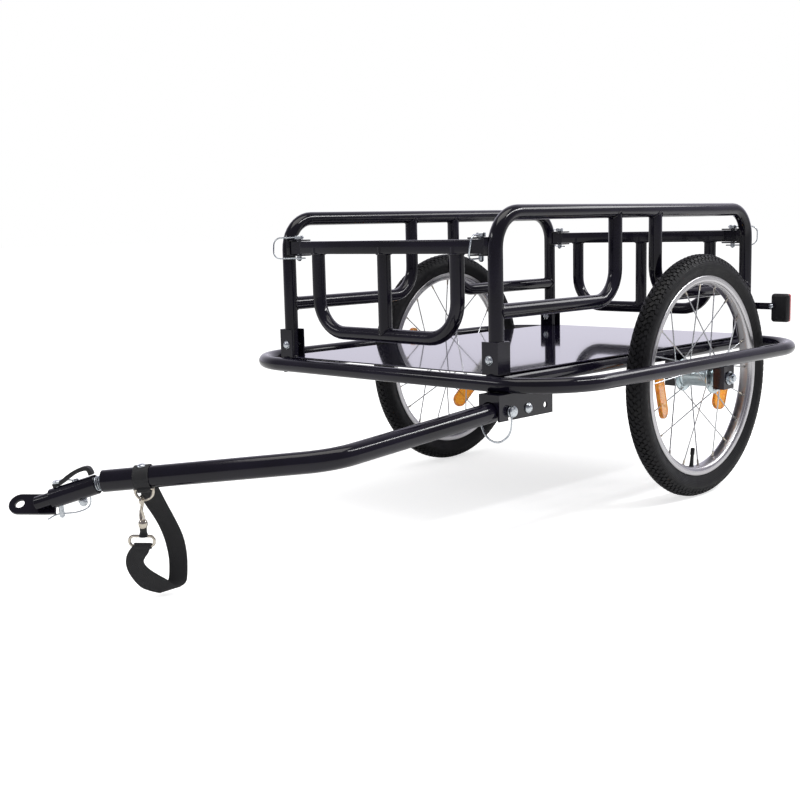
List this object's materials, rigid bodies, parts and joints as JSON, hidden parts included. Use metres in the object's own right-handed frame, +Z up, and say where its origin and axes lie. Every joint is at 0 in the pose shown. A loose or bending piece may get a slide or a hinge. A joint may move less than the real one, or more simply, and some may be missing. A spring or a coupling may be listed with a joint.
{
  "type": "cargo bike trailer",
  "caption": "Flat-deck bicycle cargo trailer with tubular side panels, pinned end gates, spoked wheels and a folding cranked tow arm with a spring hitch.",
  "frame": {"origin": "on the ground, under the middle of the whole trailer, tow arm included", "axes": "+X forward towards the hitch, +Y to the left, which is the side of the tow arm, +Z up"},
  "size_m": [1.3262, 0.706, 0.4824],
  "materials": {
    "frame_paint": "gloss black powder coat",
    "deck_paint": "smooth gloss black coat on sheet",
    "zinc": "bright zinc plated steel",
    "galvanised": "pale galvanised steel",
    "rim_alloy": "brushed alloy",
    "tread_rubber": "matt black tread rubber",
    "amber_plastic": "ribbed clear amber",
    "red_lens": "ribbed clear red",
    "black_plastic": "satin black moulding",
    "webbing": "woven black polyester webbing",
    "nickel": "nickel plated"
  },
  "bodies": {
    "trailer_frame": {"frame_loop": "frame_paint", "inner_frame": "frame_paint", "deck_plate": "deck_paint", "foot_bracket_front_left": "frame_paint", "foot_bracket_front_right": "frame_paint", "foot_bracket_rear_left": "frame_paint", "foot_bracket_rear_right": "frame_paint", "foot_bolt_front_left": "zinc", "foot_bolt_front_right": "zinc", "foot_bolt_rear_left": "zinc", "foot_bolt_rear_right": "zinc", "side_panel_left": "frame_paint", "side_panel_right": "frame_paint", "axle_left": "zinc", "axle_right": "zinc", "axle_plate_inner_left": "frame_paint", "axle_plate_inner_right": "frame_paint", "axle_plate_outer_left": "frame_paint", "axle_plate_outer_right": "frame_paint", "tow_bracket": "frame_paint", "pivot_bolt": "zinc", "reflector_bracket": "frame_paint"},
    "gate_front": {"gate_front": "frame_paint"},
    "gate_rear": {"gate_rear": "frame_paint"},
    "pin_front_left": {"gate_pin_front_left": "zinc", "pin_clip_front_left": "zinc"},
    "pin_front_right": {"gate_pin_front_right": "zinc", "pin_clip_front_right": "zinc"},
    "pin_rear_left": {"gate_pin_rear_left": "zinc", "pin_clip_rear_left": "zinc"},
    "pin_rear_right": {"gate_pin_rear_right": "zinc", "pin_clip_rear_right": "zinc"},
    "wheel_left": {"tyre_left": "tread_rubber", "rim_left": "rim_alloy", "hub_and_spokes_left": "galvanised", "wheel_reflector_left_1": "amber_plastic", "wheel_reflector_left_2": "amber_plastic"},
    "wheel_right": {"tyre_right": "tread_rubber", "rim_right": "rim_alloy", "hub_and_spokes_right": "galvanised", "wheel_reflector_right_1": "amber_plastic", "wheel_reflector_right_2": "amber_plastic"},
    "tow_arm": {"tow_arm": "frame_paint"},
    "lock_pin": {"lock_pin": "zinc"},
    "lock_pin_bail": {"lock_pin_bail": "zinc"},
    "strap": {"strap_webbing": "webbing", "strap_ring": "nickel", "snap_hook": "nickel"},
    "snap_gate": {"snap_hook_gate": "nickel"},
    "hitch_spring": {"hitch_spring": "zinc"},
    "coupling": {"coupling_tube": "frame_paint", "coupling_bolt": "zinc", "pin_leash": "black_plastic", "tongue": "frame_paint"},
    "hitch_pin": {"hitch_pin": "zinc", "hitch_pin_bail": "zinc"},
    "reflector": {"reflector_housing": "black_plastic", "reflector_lens": "red_lens"}
  },
  "joints": [
    {"name": "left_wheel_spin", "type": "hinge", "parent": "trailer_frame", "child": "wheel_left", "pos_m": [-0.38061, 0.2775, 0.2], "axis": [0, 1, 0], "continuous": true},
    {"name": "right_wheel_spin", "type": "hinge", "parent": "trailer_frame", "child": "wheel_right", "pos_m": [-0.38061, -0.2775, 0.2], "axis": [0, 1, 0], "continuous": true},
    {"name": "gate_front_draw", "type": "slide", "parent": "trailer_frame", "child": "gate_front", "axis": [1, 0, 0], "range_m": [0, 0.2]},
    {"name": "gate_rear_draw", "type": "slide", "parent": "trailer_frame", "child": "gate_rear", "axis": [-1, 0, 0], "range_m": [0, 0.2]},
    {"name": "front_left_pin_turn", "type": "hinge", "parent": "gate_front", "child": "pin_front_left", "pos_m": [0.06979, 0.195, 0.4244], "axis": [0, 0, 1], "range_deg": [-50, 36]},
    {"name": "front_right_pin_turn", "type": "hinge", "parent": "gate_front", "child": "pin_front_right", "pos_m": [0.06979, -0.195, 0.4244], "axis": [0, 0, 1], "range_deg": [0, 100]},
    {"name": "rear_left_pin_turn", "type": "hinge", "parent": "gate_rear", "child": "pin_rear_left", "pos_m": [-0.63171, 0.195, 0.4244], "axis": [0, 0, 1], "range_deg": [0, 100]},
    {"name": "rear_right_pin_turn", "type": "hinge", "parent": "gate_rear", "child": "pin_rear_right", "pos_m": [-0.63171, -0.195, 0.4244], "axis": [0, 0, 1], "range_deg": [-100, 0]},
    {"name": "tow_arm_fold", "type": "hinge", "parent": "trailer_frame", "child": "tow_arm", "pos_m": [0.04999, 0.2425, 0.1975], "axis": [0, 1, 0], "range_deg": [0, 172]},
    {"name": "lock_pin_pull", "type": "slide", "parent": "tow_arm", "child": "lock_pin", "axis": [0, 1, 0], "range_m": [0, 0.2]},
    {"name": "lock_pin_bail_swing", "type": "hinge", "parent": "lock_pin", "child": "lock_pin_bail", "pos_m": [0.08999, 0.2425, 0.1975], "axis": [0, 1, 0], "range_deg": [-45, 45]},
    {"name": "strap_turn", "type": "hinge", "parent": "tow_arm", "child": "strap", "pos_m": [0.55304, 0.05264, 0.15342], "axis": [0.6063, -0.7901, -0.0906], "range_deg": [0, 172]},
    {"name": "snap_gate_open", "type": "hinge", "parent": "strap", "child": "snap_gate", "pos_m": [0.56522, 0.06072, 0.10397], "axis": [0.6088, -0.7934, 0], "range_deg": [0, 25], "stiffness_Nm_per_rad": 0.02, "springref_deg": -28.65},
    {"name": "hitch_yaw", "type": "hinge", "parent": "tow_arm", "child": "hitch_spring", "pos_m": [0.58742, 0.00784, 0.14677], "axis": [0, 0, 1], "range_deg": [-25, 25], "stiffness_Nm_per_rad": 4, "deforming": ["hitch_spring"]},
    {"name": "hitch_pitch", "type": "hinge", "parent": "hitch_spring", "child": "coupling", "pos_m": [0.58742, 0.00784, 0.14677], "axis": [0.7934, 0.6088, 0], "range_deg": [-18, 18], "stiffness_Nm_per_rad": 4, "deforming": ["hitch_spring"]},
    {"name": "hitch_pin_bail_swing", "type": "hinge", "parent": "coupling", "child": "hitch_pin", "pos_m": [0.62061, -0.03542, 0.12898], "axis": [0.0583, -0.076, 0.9954], "range_deg": [0, 75]},
    {"name": "reflector_tilt", "type": "hinge", "parent": "trailer_frame", "child": "reflector", "pos_m": [-0.64, 0.26625, 0.2978], "axis": [1, 0, 0], "range_deg": [-20, 20]}
  ],
  "couplings": [
    {"joint": "lock_pin_pull", "follows": "tow_arm_fold", "m_per_rad": 0.065},
    {"joint": "strap_turn", "follows": "tow_arm_fold", "ratio": 1}
  ]
}
